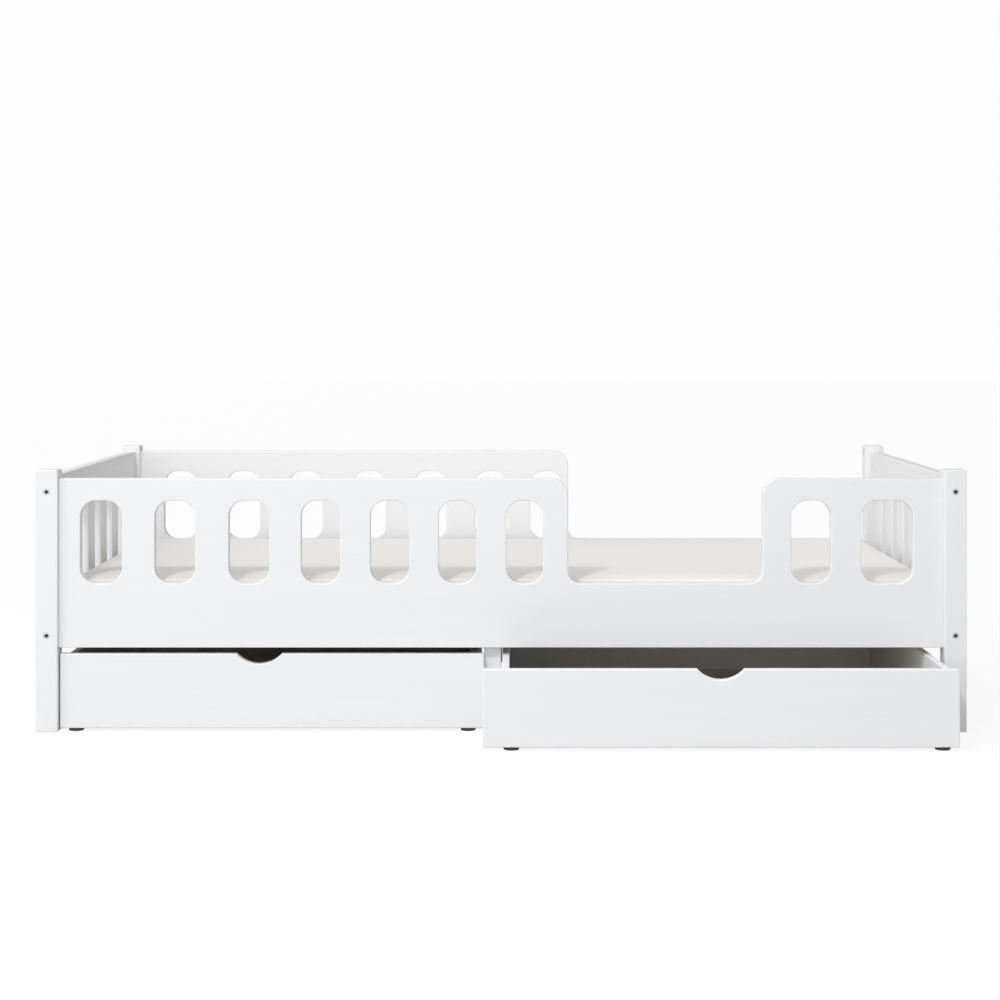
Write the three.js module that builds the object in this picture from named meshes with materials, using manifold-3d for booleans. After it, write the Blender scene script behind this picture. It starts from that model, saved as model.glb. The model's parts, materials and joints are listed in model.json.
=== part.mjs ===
// A toddler bed with slatted ends, pierced side panels and two drawers that slide on the floor.
// Millimetres. X runs along the bed, Y from the entry side to the back, Z up from the floor.

import * as THREE from 'three';
import { mergeVertices } from 'three/addons/utils/BufferGeometryUtils.js';
import Module from 'manifold-3d';

const wasm = await Module();
wasm.setup();

// ---------------------------------------------------------------- driving dimensions

const OUTER_LENGTH = 1680; // over the posts, along X
const OUTER_WIDTH = 880; // over the posts, along Y
const POST_SIDE = 40;
const POST_HEIGHT = 473;

const BOARD = 20; // thickness of the side panels and the end rails
const HOUSING = 8; // how deep a side panel enters its grooves in the posts
const FIT = 0.3; // gap left between faces that are glued, screwed or resting

const PANEL_BOTTOM = 151; // underside of both side panels
const PANEL_TOP_DROP = { front: 16, rear: 11.5 }; // from the top of a post to the top of a side panel

const ENTRY_WIDTH = 352.3;
const FRONT_SHORT_GUARD = 326.7; // front guard on the far side of the entry
const REAR_GUARD = 945; // rear guard, measured from its post
const GUARD_RADIUS = 30; // rounded top corner where a guard ends
const ENTRY_RADIUS = 23; // inside corner at the foot of a guard
const ENTRY_DROP = 5; // the low edge lies this far under the mattress top

const HOLE_RADIUS = 29;
const HOLE_TOP_MARGIN = 40; // from a hole to the top of the front panel

// The holes of the two long guards, which start at the left posts. Each one has the place of its
// middle, as a share of the length of its guard, and its width.
const FRONT_HOLES = [
  [0.083, 75],
  [0.228, 73],
  [0.3735, 73],
  [0.514, 70],
  [0.65, 70],
  [0.783, 68],
  [0.915, 67],
];
const REAR_HOLES = [
  [0.094, 73],
  [0.241, 73],
  [0.387, 73],
  [0.535, 72],
  [0.678, 72],
  [0.82, 72],
  [0.948, 70],
];
const SHORT_GUARD_HOLES = { entryMargin: 51.5, narrow: 72, web: 54.6, wide: 94 };

const END_RAIL_HEIGHT = 70;
const TOP_RAIL_DROP = 12; // from the top of a post to the top of an end rail
const BOTTOM_RAIL_BASE = 139;
const END_SLATS = 6;
const END_SLAT_WIDTH = 65;
const END_SLAT_THICKNESS = 14;
const MORTISE_DEPTH = 12;

const BOLT_HEAD_RADIUS = 5.4;
const BOLT_HEAD_HEIGHT = 6;
const BOLT_HEAD_SINK = 0.6; // how far a head lies under the face of its post
const BOLT_SHANK_RADIUS = 3;
const BOLT_LENGTH = 80;
const BOLT_SOCKET = 6; // across the flats
const BOLT_SOCKET_DEPTH = 3;
const UPPER_BOLT_DROP = 27.5; // from the top of the upper end rail

const LEDGE = 22; // square strip that carries the slatted base
const LEDGE_SHORTFALL = 5; // from each end of a ledge to its post
const BASE_SLATS = 13;
const BASE_SLAT_WIDTH = 70;
const BASE_SLAT_THICKNESS = 14;
const BASE_END_MARGIN = 14;
const BASE_SIDE_GAP = 2; // from a slat's end to the side panel
const RIBBON_WIDTH = 24;
const RIBBON_THICKNESS = 2;
const RIBBON_INSET = 150; // from a slat's end to the middle of the ribbon

const MATTRESS_THICKNESS = 84.4;
const MATTRESS_RADIUS = 30;

const LEG_LEFT = -31; // the left face of the middle legs
const LEG_WIDTH = 31;
const LEG_DEPTH = 40;
const CROSS_RAIL_HEIGHT = 40;

const DRAWER_LIFT = 5.4; // from the floor to the bottom edge of the boards
const DRAWER_TOP_GAP = 11; // from a drawer front up to the side panel
const DRAWER_BACK_GAP = 80; // from a closed drawer to the rear side panel
const DRAWER_FRONT_THICKNESS = 18;
const DRAWER_WALL = 12;
const DRAWER_WALL_DROP = 2; // the walls end this far under the top of the front
const DRAWER_BOTTOM_THICKNESS = 6;
const DRAWER_BOTTOM_HEIGHT = 10; // from the bottom edge of the boards to the bottom panel
const DRAWER_GROOVE = 6;
const DRAWER_OVERLAP = 12; // the front runs past the box by this much
const LEFT_DRAWER_POST_GAP = 2.5;
const RIGHT_DRAWER_POST_GAP = 8.5;
const LEFT_DRAWER_LEG_GAP = 1;
const RIGHT_FRONT_LAP = 31; // how much of the middle leg the right front covers
const RIGHT_BOX_LEG_GAP = 3;
const FRONT_LEG_CLEARANCE = 2; // from the back of a closed drawer front to the middle leg
const RIGHT_DRAWER_PULL = 180; // the right drawer stands open by this much

const NOTCH_WIDTH = 82;
const NOTCH_DEPTH = 18.5;
const LEFT_NOTCH_SHIFT = -23; // from the middle of the left drawer front

const GLIDE_RADIUS = 13.5;
const GLIDE_CHAMFER = 1.6;
const GLIDE_INSET = 2; // from the outside of the box to the rim of a glide

const ROUND_STEPS = 20; // facets round a bolt or a glide
const CURVE_STEPS = 12; // half the facets of an arc in an outline

// ---------------------------------------------------------------- places worked out from them

const innerLength = OUTER_LENGTH - 2 * POST_SIDE;
const innerWidth = OUTER_WIDTH - 2 * POST_SIDE;
const postX = (OUTER_LENGTH - POST_SIDE) / 2;
const postY = (OUTER_WIDTH - POST_SIDE) / 2;
const panelInnerY = postY - BOARD / 2;

const panelTop = {
  front: POST_HEIGHT - PANEL_TOP_DROP.front,
  rear: POST_HEIGHT - PANEL_TOP_DROP.rear,
};
const ledgeTop = PANEL_BOTTOM + LEDGE;
const baseBottom = ledgeTop + FIT;
const baseTop = baseBottom + BASE_SLAT_THICKNESS;
const mattressBottom = baseTop + FIT;
const mattressTop = mattressBottom + MATTRESS_THICKNESS;
const entryHeight = mattressTop - ENTRY_DROP;

const topRailTop = POST_HEIGHT - TOP_RAIL_DROP;
const topRailBase = topRailTop - END_RAIL_HEIGHT;
const bottomRailTop = BOTTOM_RAIL_BASE + END_RAIL_HEIGHT;
const boltHeights = [BOTTOM_RAIL_BASE + END_RAIL_HEIGHT / 2, topRailTop - UPPER_BOLT_DROP];

const legRight = LEG_LEFT + LEG_WIDTH;
const drawerFaceY = -postY - BOARD / 2; // flush with the front panel
const drawerDepth = panelInnerY - DRAWER_BACK_GAP - drawerFaceY;
const drawerTop = PANEL_BOTTOM - DRAWER_TOP_GAP;
const behindDrawerFront = -drawerFaceY - DRAWER_FRONT_THICKNESS - FRONT_LEG_CLEARANCE;
const legOuterY = Math.min(panelInnerY, behindDrawerFront);

// The origin lies on the floor under the middle of the whole bed, with its right drawer open.
const frontReach = Math.max(OUTER_WIDTH / 2, RIGHT_DRAWER_PULL - drawerFaceY);
const centringShift = (frontReach - OUTER_WIDTH / 2) / 2;

// ---------------------------------------------------------------- materials

function finish(color, roughness, metalness = 0) {
  return new THREE.MeshStandardMaterial({ color, roughness, metalness });
}

const whiteLacquer = () => finish(0xf1f1ef, 0.45);
const birch = () => finish(0xdcc49a, 0.6);
const ticking = () => finish(0xe6e1da, 0.95);
const darkPlastic = () => finish(0x2b2b2d, 0.5);
const zinc = () => finish(0xb4b6ba, 0.35, 1);
const whiteHardboard = () => finish(0xe9e9e6, 0.55);

// ---------------------------------------------------------------- shapes and cuts

function block(cornerA, cornerB) {
  const low = cornerA.map((value, axis) => Math.min(value, cornerB[axis]));
  const high = cornerA.map((value, axis) => Math.max(value, cornerB[axis]));
  const size = high.map((value, axis) => value - low[axis]);
  const geometry = new THREE.BoxGeometry(...size);
  return geometry.translate(...low.map((value, axis) => value + size[axis] / 2));
}

function rodAlongY(radius, fromY, toY, x, z) {
  const geometry = new THREE.CylinderGeometry(radius, radius, Math.abs(toY - fromY), ROUND_STEPS);
  return geometry.translate(x, (fromY + toY) / 2, z);
}

// An outline of square corners, each with its own radius.
function roundedOutline(corners, outline = new THREE.Shape()) {
  corners.forEach(([x, y, radius = 0], index) => {
    const corner = new THREE.Vector2(x, y);
    const [lastX, lastY] = corners.at(index - 1);
    const [nextX, nextY] = corners[(index + 1) % corners.length];
    const inward = new THREE.Vector2(x - lastX, y - lastY).normalize();
    const onward = new THREE.Vector2(nextX - x, nextY - y).normalize();
    const start = corner.clone().addScaledVector(inward, -radius);
    if (index === 0) outline.moveTo(start.x, start.y);
    else outline.lineTo(start.x, start.y);
    if (radius === 0) return;
    const centre = start.clone().addScaledVector(onward, radius);
    const end = corner.clone().addScaledVector(onward, radius);
    const turnsClockwise = inward.cross(onward) < 0;
    const startAngle = start.sub(centre).angle();
    const endAngle = end.sub(centre).angle();
    outline.absarc(centre.x, centre.y, radius, startAngle, endAngle, turnsClockwise);
  });
  outline.closePath();
  return outline;
}

// A board that stands upright along the bed, cut to an outline in X and Z.
function uprightBoard(outline, thickness, frontY) {
  const options = { depth: thickness, bevelEnabled: false, curveSegments: CURVE_STEPS };
  const geometry = new THREE.ExtrudeGeometry(outline, options);
  return geometry.rotateX(Math.PI / 2).translate(0, frontY + thickness, 0);
}

function toSolid(geometry) {
  const bare = geometry.clone();
  bare.deleteAttribute('normal');
  bare.deleteAttribute('uv');
  const merged = mergeVertices(bare);
  const mesh = new wasm.Mesh({
    numProp: 3,
    vertProperties: new Float32Array(merged.attributes.position.array),
    triVerts: new Uint32Array(merged.index.array),
  });
  return new wasm.Manifold(mesh);
}

function toGeometry(solid) {
  const { vertProperties, triVerts } = solid.getMesh();
  const indexed = new THREE.BufferGeometry();
  indexed.setAttribute('position', new THREE.BufferAttribute(new Float32Array(vertProperties), 3));
  indexed.setIndex(new THREE.BufferAttribute(new Uint32Array(triVerts), 1));
  const geometry = indexed.toNonIndexed();
  geometry.computeVertexNormals();
  return geometry;
}

function cut(blank, ...tools) {
  return toGeometry(tools.reduce((solid, tool) => solid.subtract(toSolid(tool)), toSolid(blank)));
}

function join(first, ...others) {
  return toGeometry(others.reduce((solid, other) => solid.add(toSolid(other)), toSolid(first)));
}

function piece(name, geometry, material) {
  const mesh = new THREE.Mesh(geometry, material);
  mesh.name = name;
  return mesh;
}

// ---------------------------------------------------------------- posts and bolts

const sides = [['left', -1], ['right', 1]];
const faces = [['front', -1], ['rear', 1]];

// A post with the groove that holds the side panel and two stepped bores for the bolts.
function post(sx, sy) {
  const x = sx * postX;
  const y = sy * postY;
  const half = POST_SIDE / 2;
  const boardTop = sy < 0 ? panelTop.front : panelTop.rear;
  const blank = block([x - half, y - half, 0], [x + half, y + half, POST_HEIGHT]);
  const groove = block(
    [sx * (innerLength / 2 - 1), y - BOARD / 2 - FIT, PANEL_BOTTOM - FIT],
    [sx * (innerLength / 2 + HOUSING), y + BOARD / 2 + FIT, boardTop + FIT],
  );
  const outerY = y + sy * half;
  const seatY = outerY - sy * (BOLT_HEAD_SINK + BOLT_HEAD_HEIGHT + FIT);
  const bores = boltHeights.flatMap((z) => [
    rodAlongY(BOLT_HEAD_RADIUS + FIT, outerY + sy, seatY, x, z),
    rodAlongY(BOLT_SHANK_RADIUS + FIT, seatY + sy, y - sy * (half + 1), x, z),
  ]);
  return cut(blank, groove, ...bores);
}

// A bolt that points along +Y, with the face of its head at the origin.
function bolt() {
  const profile = [
    [0, 0],
    [BOLT_HEAD_RADIUS, 0],
    [BOLT_HEAD_RADIUS, BOLT_HEAD_HEIGHT],
    [BOLT_SHANK_RADIUS, BOLT_HEAD_HEIGHT],
    [BOLT_SHANK_RADIUS, BOLT_LENGTH],
    [0, BOLT_LENGTH],
  ].map(([radius, y]) => new THREE.Vector2(radius, y));
  const socketRadius = BOLT_SOCKET / Math.sqrt(3);
  const socket = new THREE.CylinderGeometry(socketRadius, socketRadius, 2 * BOLT_SOCKET_DEPTH, 6);
  return cut(new THREE.LatheGeometry(profile, ROUND_STEPS), socket);
}

function postsAndBolts() {
  const group = new THREE.Group();
  for (const [face, sy] of faces) {
    for (const [side, sx] of sides) {
      group.add(piece(`post_${face}_${side}`, post(sx, sy), whiteLacquer()));
      boltHeights.forEach((z, index) => {
        const level = index === 0 ? 'lower' : 'upper';
        const mesh = piece(`bolt_${face}_${side}_${level}`, bolt(), zinc());
        mesh.position.set(sx * postX, sy * (OUTER_WIDTH / 2 - BOLT_HEAD_SINK), z);
        if (sy > 0) mesh.rotation.z = Math.PI;
        group.add(mesh);
      });
    }
  }
  return group;
}

// ---------------------------------------------------------------- slatted ends

function endSlatMiddles() {
  const gap = (innerWidth - END_SLATS * END_SLAT_WIDTH) / (END_SLATS + 1);
  const pitch = gap + END_SLAT_WIDTH;
  return Array.from({ length: END_SLATS }, (_, index) => {
    return -innerWidth / 2 + gap + END_SLAT_WIDTH / 2 + index * pitch;
  });
}

// The slat runs into both rails; with a gap it is the space that the rails leave for it.
function endSlat(x, y, gap = 0) {
  const halfThickness = END_SLAT_THICKNESS / 2 + gap;
  const halfWidth = END_SLAT_WIDTH / 2 + gap;
  const reach = MORTISE_DEPTH - FIT + gap;
  return block(
    [x - halfThickness, y - halfWidth, bottomRailTop - reach],
    [x + halfThickness, y + halfWidth, topRailBase + reach],
  );
}

// A rail between two posts, mortised for the slats and bored at both ends for a bolt.
function endRail(x, baseHeight, boltHeight) {
  const halfLength = innerWidth / 2 - FIT;
  const blank = block(
    [x - BOARD / 2, -halfLength, baseHeight],
    [x + BOARD / 2, halfLength, baseHeight + END_RAIL_HEIGHT],
  );
  const mortises = endSlatMiddles().map((y) => endSlat(x, y, FIT));
  const boltTip = OUTER_WIDTH / 2 - BOLT_HEAD_SINK - BOLT_LENGTH - FIT;
  const bores = faces.map(([, sy]) => {
    return rodAlongY(BOLT_SHANK_RADIUS + FIT, sy * (halfLength + 1), sy * boltTip, x, boltHeight);
  });
  return cut(blank, ...mortises, ...bores);
}

function slattedEnds() {
  const group = new THREE.Group();
  const [lowerBolt, upperBolt] = boltHeights;
  for (const [side, sx] of sides) {
    const x = sx * postX;
    const bottomRail = endRail(x, BOTTOM_RAIL_BASE, lowerBolt);
    const topRail = endRail(x, topRailBase, upperBolt);
    group.add(piece(`end_rail_${side}_bottom`, bottomRail, whiteLacquer()));
    group.add(piece(`end_rail_${side}_top`, topRail, whiteLacquer()));
    endSlatMiddles().forEach((y, index) => {
      group.add(piece(`end_slat_${side}_${index + 1}`, endSlat(x, y), whiteLacquer()));
    });
  }
  return group;
}

// ---------------------------------------------------------------- side panels

function hole(leftX, width) {
  const top = panelTop.front - HOLE_TOP_MARGIN;
  return roundedOutline([
    [leftX, entryHeight, HOLE_RADIUS],
    [leftX + width, entryHeight, HOLE_RADIUS],
    [leftX + width, top, HOLE_RADIUS],
    [leftX, top, HOLE_RADIUS],
  ], new THREE.Path());
}

function guardHoles(guardLength, places) {
  return places.map(([share, width]) => {
    return hole(share * guardLength - innerLength / 2 - width / 2, width);
  });
}

function frontPanel() {
  const end = innerLength / 2 + HOUSING - FIT;
  const entryRight = innerLength / 2 - FRONT_SHORT_GUARD;
  const entryLeft = entryRight - ENTRY_WIDTH;
  const outline = roundedOutline([
    [-end, PANEL_BOTTOM],
    [end, PANEL_BOTTOM],
    [end, panelTop.front],
    [entryRight, panelTop.front, GUARD_RADIUS],
    [entryRight, entryHeight, ENTRY_RADIUS],
    [entryLeft, entryHeight, ENTRY_RADIUS],
    [entryLeft, panelTop.front, GUARD_RADIUS],
    [-end, panelTop.front],
  ]);
  const narrowHoleX = entryRight + SHORT_GUARD_HOLES.entryMargin;
  const wideHoleX = narrowHoleX + SHORT_GUARD_HOLES.narrow + SHORT_GUARD_HOLES.web;
  const longGuard = innerLength - FRONT_SHORT_GUARD - ENTRY_WIDTH;
  outline.holes.push(
    ...guardHoles(longGuard, FRONT_HOLES),
    hole(narrowHoleX, SHORT_GUARD_HOLES.narrow),
    hole(wideHoleX, SHORT_GUARD_HOLES.wide),
  );
  return uprightBoard(outline, BOARD, -postY - BOARD / 2);
}

function rearPanel() {
  const end = innerLength / 2 + HOUSING - FIT;
  const guardEnd = REAR_GUARD - innerLength / 2;
  const outline = roundedOutline([
    [-end, PANEL_BOTTOM],
    [end, PANEL_BOTTOM],
    [end, entryHeight],
    [guardEnd, entryHeight, ENTRY_RADIUS],
    [guardEnd, panelTop.rear, GUARD_RADIUS],
    [-end, panelTop.rear],
  ]);
  outline.holes.push(...guardHoles(REAR_GUARD, REAR_HOLES));
  return uprightBoard(outline, BOARD, postY - BOARD / 2);
}

// The strip screwed inside a side panel; with a gap it is the space that it takes up.
function ledge(sy, gap = 0) {
  const halfLength = innerLength / 2 - LEDGE_SHORTFALL + gap;
  const outerY = panelInnerY - FIT + gap;
  const innerY = panelInnerY - FIT - LEDGE - gap;
  return block(
    [-halfLength, sy * outerY, PANEL_BOTTOM - gap],
    [halfLength, sy * innerY, ledgeTop + gap],
  );
}

function longSides() {
  const group = new THREE.Group();
  group.add(piece('side_panel_front', frontPanel(), whiteLacquer()));
  group.add(piece('side_panel_rear', rearPanel(), whiteLacquer()));
  for (const [face, sy] of faces) {
    group.add(piece(`ledge_${face}`, ledge(sy), birch()));
  }
  return group;
}

// ---------------------------------------------------------------- bed base and mattress

// Slats tied together by two ribbons let into their undersides.
function rollBase() {
  const slatHalfLength = panelInnerY - BASE_SIDE_GAP;
  const firstX = -innerLength / 2 + BASE_END_MARGIN;
  const pitch = (innerLength - 2 * BASE_END_MARGIN - BASE_SLAT_WIDTH) / (BASE_SLATS - 1);
  const slats = Array.from({ length: BASE_SLATS }, (_, index) => block(
    [firstX + index * pitch, -slatHalfLength, baseBottom],
    [firstX + index * pitch + BASE_SLAT_WIDTH, slatHalfLength, baseTop],
  ));
  const ribbonY = slatHalfLength - RIBBON_INSET;
  const ribbonEnd = innerLength / 2 - BASE_END_MARGIN - BASE_SLAT_WIDTH / 2;
  const ribbons = faces.map(([, sy]) => block(
    [-ribbonEnd, sy * ribbonY - RIBBON_WIDTH / 2, baseBottom],
    [ribbonEnd, sy * ribbonY + RIBBON_WIDTH / 2, baseBottom + RIBBON_THICKNESS],
  ));
  return join(...slats, ...ribbons);
}

function mattress() {
  const halfLength = innerLength / 2;
  const halfWidth = innerWidth / 2;
  const outline = roundedOutline([
    [-halfLength, -halfWidth, MATTRESS_RADIUS],
    [halfLength, -halfWidth, MATTRESS_RADIUS],
    [halfLength, halfWidth, MATTRESS_RADIUS],
    [-halfLength, halfWidth, MATTRESS_RADIUS],
  ]);
  const options = { depth: MATTRESS_THICKNESS, bevelEnabled: false, curveSegments: CURVE_STEPS };
  return new THREE.ExtrudeGeometry(outline, options).translate(0, 0, mattressBottom);
}

// A leg under the middle of a ledge, rebated so that the ledge rests on it.
function middleLeg(sy) {
  const blank = block(
    [LEG_LEFT, sy * legOuterY, 0],
    [legRight, sy * (legOuterY - LEG_DEPTH), ledgeTop],
  );
  return cut(blank, ledge(sy, FIT));
}

function crossRail() {
  const halfLength = legOuterY - LEG_DEPTH - FIT;
  return block(
    [LEG_LEFT, -halfLength, ledgeTop - CROSS_RAIL_HEIGHT],
    [legRight, halfLength, ledgeTop],
  );
}

function bedBase() {
  const group = new THREE.Group();
  group.add(piece('roll_slat_base', rollBase(), birch()));
  group.add(piece('mattress', mattress(), ticking()));
  group.add(piece('middle_cross_rail', crossRail(), whiteLacquer()));
  for (const [face, sy] of faces) {
    group.add(piece(`middle_leg_${face}`, middleLeg(sy), whiteLacquer()));
  }
  return group;
}

// ---------------------------------------------------------------- drawers

// The front, with the shallow round notch that a hand pulls by.
function drawerFront({ frontLeft, frontRight, notchShift }) {
  const middle = (frontLeft + frontRight) / 2 + notchShift;
  const halfNotch = NOTCH_WIDTH / 2;
  const radius = (halfNotch ** 2 + NOTCH_DEPTH ** 2) / (2 * NOTCH_DEPTH);
  const centreHeight = drawerTop + radius - NOTCH_DEPTH;
  const startAngle = Math.atan2(NOTCH_DEPTH - radius, halfNotch);
  const outline = new THREE.Shape();
  outline.moveTo(frontLeft, DRAWER_LIFT);
  outline.lineTo(frontRight, DRAWER_LIFT);
  outline.lineTo(frontRight, drawerTop);
  outline.lineTo(middle + halfNotch, drawerTop);
  outline.absarc(middle, centreHeight, radius, startAngle, -Math.PI - startAngle, true);
  outline.lineTo(frontLeft, drawerTop);
  outline.closePath();
  return uprightBoard(outline, DRAWER_FRONT_THICKNESS, drawerFaceY);
}

// The inside of the box, from which the grooves and the bottom panel are measured.
function boxInside({ boxLeft, boxRight }) {
  return {
    left: boxLeft + DRAWER_WALL,
    right: boxRight - DRAWER_WALL,
    front: drawerFaceY + DRAWER_FRONT_THICKNESS,
    back: drawerFaceY + drawerDepth - DRAWER_WALL,
  };
}

// The bottom panel; with a gap it is the groove that the four boards leave for it.
function drawerBottom(drawer, gap = 0) {
  const inside = boxInside(drawer);
  const reach = DRAWER_GROOVE - FIT + gap;
  const base = DRAWER_LIFT + DRAWER_BOTTOM_HEIGHT;
  return block(
    [inside.left - reach, inside.front - reach, base - gap],
    [inside.right + reach, inside.back + reach, base + DRAWER_BOTTOM_THICKNESS + gap],
  );
}

function drawerWall(lowX, highX, lowY, highY) {
  return block([lowX, lowY, DRAWER_LIFT], [highX, highY, drawerTop - DRAWER_WALL_DROP]);
}

function glide(x, y) {
  const height = DRAWER_LIFT - FIT;
  const profile = [
    [0, 0],
    [GLIDE_RADIUS - GLIDE_CHAMFER, 0],
    [GLIDE_RADIUS, GLIDE_CHAMFER],
    [GLIDE_RADIUS, height],
    [0, height],
  ].map(([radius, z]) => new THREE.Vector2(radius, z));
  return new THREE.LatheGeometry(profile, ROUND_STEPS).rotateX(Math.PI / 2).translate(x, y, 0);
}

function drawerGlides(name, { boxLeft, boxRight }) {
  const glideY = {
    front: drawerFaceY + GLIDE_RADIUS,
    rear: drawerFaceY + drawerDepth - GLIDE_RADIUS,
  };
  const inset = GLIDE_INSET + GLIDE_RADIUS;
  const glideX = { left: boxLeft + inset, right: boxRight - inset };
  return faces.flatMap(([face]) => sides.map(([side]) => {
    return piece(`${name}_glide_${face}_${side}`, glide(glideX[side], glideY[face]), darkPlastic());
  }));
}

function drawerAssembly(name, drawer) {
  const { boxLeft, boxRight, pull } = drawer;
  const inside = boxInside(drawer);
  const groove = drawerBottom(drawer, FIT);
  const wallFront = inside.front + FIT;
  const wallBack = inside.back + DRAWER_WALL;
  const sideLeft = drawerWall(boxLeft, inside.left, wallFront, wallBack);
  const sideRight = drawerWall(inside.right, boxRight, wallFront, wallBack);
  const back = drawerWall(inside.left + FIT, inside.right - FIT, inside.back, wallBack);
  const group = new THREE.Group();
  group.add(piece(`${name}_front`, cut(drawerFront(drawer), groove), whiteLacquer()));
  group.add(piece(`${name}_side_left`, cut(sideLeft, groove), whiteLacquer()));
  group.add(piece(`${name}_side_right`, cut(sideRight, groove), whiteLacquer()));
  group.add(piece(`${name}_back`, cut(back, groove), whiteLacquer()));
  group.add(piece(`${name}_bottom`, drawerBottom(drawer), whiteHardboard()));
  group.add(...drawerGlides(name, drawer));
  group.position.y = -pull;
  return group;
}

function drawers() {
  const leftDrawer = {
    frontLeft: -innerLength / 2 + LEFT_DRAWER_POST_GAP,
    frontRight: LEG_LEFT - LEFT_DRAWER_LEG_GAP,
    boxLeft: -innerLength / 2 + LEFT_DRAWER_POST_GAP + DRAWER_OVERLAP,
    boxRight: LEG_LEFT - LEFT_DRAWER_LEG_GAP - DRAWER_OVERLAP,
    notchShift: LEFT_NOTCH_SHIFT,
    pull: 0,
  };
  const rightDrawer = {
    frontLeft: legRight - RIGHT_FRONT_LAP,
    frontRight: innerLength / 2 - RIGHT_DRAWER_POST_GAP,
    boxLeft: legRight + RIGHT_BOX_LEG_GAP,
    boxRight: innerLength / 2 - RIGHT_DRAWER_POST_GAP - DRAWER_OVERLAP,
    notchShift: 0,
    pull: RIGHT_DRAWER_PULL,
  };
  const group = new THREE.Group();
  group.add(drawerAssembly('left_drawer', leftDrawer));
  group.add(drawerAssembly('right_drawer', rightDrawer));
  return group;
}

// ---------------------------------------------------------------- the whole bed

const bed = new THREE.Group();
bed.add(postsAndBolts(), slattedEnds(), longSides(), bedBase(), drawers());
bed.position.y = centringShift;

export default bed;
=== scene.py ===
# %% [markdown]
# # A toddler bed with two drawers
# The bed stands on four square posts and two middle legs. Two pierced boards run along its sides, two
# slatted frames close its ends, and a pair of drawers glides on the floor underneath. Every solid
# already has its true size and place in the loaded frame. This lesson gives each one its eased
# edges, its finish and its small fittings, and turns the plain mattress block into a soft one.

import json
import math

import bmesh
import bpy
import numpy as np
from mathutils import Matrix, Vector


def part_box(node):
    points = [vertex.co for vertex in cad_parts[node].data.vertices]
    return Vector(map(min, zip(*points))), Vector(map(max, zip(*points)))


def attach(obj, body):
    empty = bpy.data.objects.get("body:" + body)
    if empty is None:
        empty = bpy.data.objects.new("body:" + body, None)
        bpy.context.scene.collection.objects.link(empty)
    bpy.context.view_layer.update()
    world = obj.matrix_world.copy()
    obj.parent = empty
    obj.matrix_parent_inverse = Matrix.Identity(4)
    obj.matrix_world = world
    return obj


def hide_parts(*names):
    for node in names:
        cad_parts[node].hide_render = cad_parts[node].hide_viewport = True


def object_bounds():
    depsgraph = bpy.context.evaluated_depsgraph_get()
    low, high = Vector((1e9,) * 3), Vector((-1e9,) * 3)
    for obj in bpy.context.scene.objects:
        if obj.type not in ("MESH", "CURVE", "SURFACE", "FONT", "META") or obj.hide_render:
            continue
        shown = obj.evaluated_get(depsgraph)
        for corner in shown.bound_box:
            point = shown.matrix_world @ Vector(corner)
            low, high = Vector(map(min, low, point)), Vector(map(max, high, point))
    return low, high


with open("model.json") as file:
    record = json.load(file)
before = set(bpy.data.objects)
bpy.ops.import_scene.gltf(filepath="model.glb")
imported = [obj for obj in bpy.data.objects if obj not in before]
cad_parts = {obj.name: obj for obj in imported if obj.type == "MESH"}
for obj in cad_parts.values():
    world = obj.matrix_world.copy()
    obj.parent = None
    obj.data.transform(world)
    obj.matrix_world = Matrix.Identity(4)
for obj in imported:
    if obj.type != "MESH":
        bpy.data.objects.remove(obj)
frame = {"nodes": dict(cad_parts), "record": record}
frame_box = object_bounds()
SPAN = frame_box[1] - frame_box[0]
BODY_OF = {}
for body_name, body_nodes in frame["record"]["behaviour"]["bodies"].items():
    for node in body_nodes:
        BODY_OF[node] = body_name
print("nodes:", len(frame["nodes"]), "size:", [round(value, 3) for value in SPAN])

# %% [markdown]
# ## The viewpoint
# The bed is seen straight on, from a little to the right of its middle and a little over its
# posts. The camera stays level, so upright posts stay upright, and the frame is shifted down
# instead of tilting the camera, as a view camera allows.

# %% Place the camera
FRONT_FACE_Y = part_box("post_front_left")[0].y
CAMERA_DISTANCE = 3.772
CAMERA_X = 0.0144
CAMERA_HEIGHT = 0.711
CAMERA_PLACE = (CAMERA_X, FRONT_FACE_Y - CAMERA_DISTANCE, CAMERA_HEIGHT)
bpy.ops.object.camera_add(location=CAMERA_PLACE, rotation=(math.radians(90), 0, 0))
camera = bpy.context.object
camera.name = "camera"
camera.data.lens = 75.3
camera.data.sensor_width = 36
camera.data.shift_x = -0.009
camera.data.shift_y = -0.162
bpy.context.scene.camera = camera
print("camera at", [round(value, 3) for value in camera.location])

# %% [markdown]
# ## A pale room
# White furniture shows its shape through small differences of grey, so the light matters more
# than anything else here. The world is brightest from the left and from above, and dimmer from the
# right and from behind. A small high lamp at the front left draws the shadows of the guard, and a
# wide low one fills the left sides of things. The camera sees an even bright floor and wall, while
# the light that they throw on the bed is set apart from that and is dimmer.

# %% Set up the world
scene = bpy.context.scene
scene.view_settings.view_transform = "Standard"
scene.world = bpy.data.worlds.new("pale_room")
scene.world.use_nodes = True
world_nodes = scene.world.node_tree.nodes
world_links = scene.world.node_tree.links
room_light = world_nodes["Background"]
room_light.inputs["Color"].default_value = (0.985, 0.99, 1.0, 1)
seen_wall = world_nodes.new("ShaderNodeBackground")
seen_wall.inputs["Color"].default_value = (0.985, 0.985, 0.985, 1)
light_path = world_nodes.new("ShaderNodeLightPath")
choose = world_nodes.new("ShaderNodeMixShader")
world_links.new(light_path.outputs["Is Camera Ray"], choose.inputs["Fac"])
world_links.new(room_light.outputs["Background"], choose.inputs[1])
world_links.new(seen_wall.outputs["Background"], choose.inputs[2])
world_links.new(choose.outputs["Shader"], world_nodes["World Output"].inputs["Surface"])
print("world:", scene.world.name)

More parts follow.
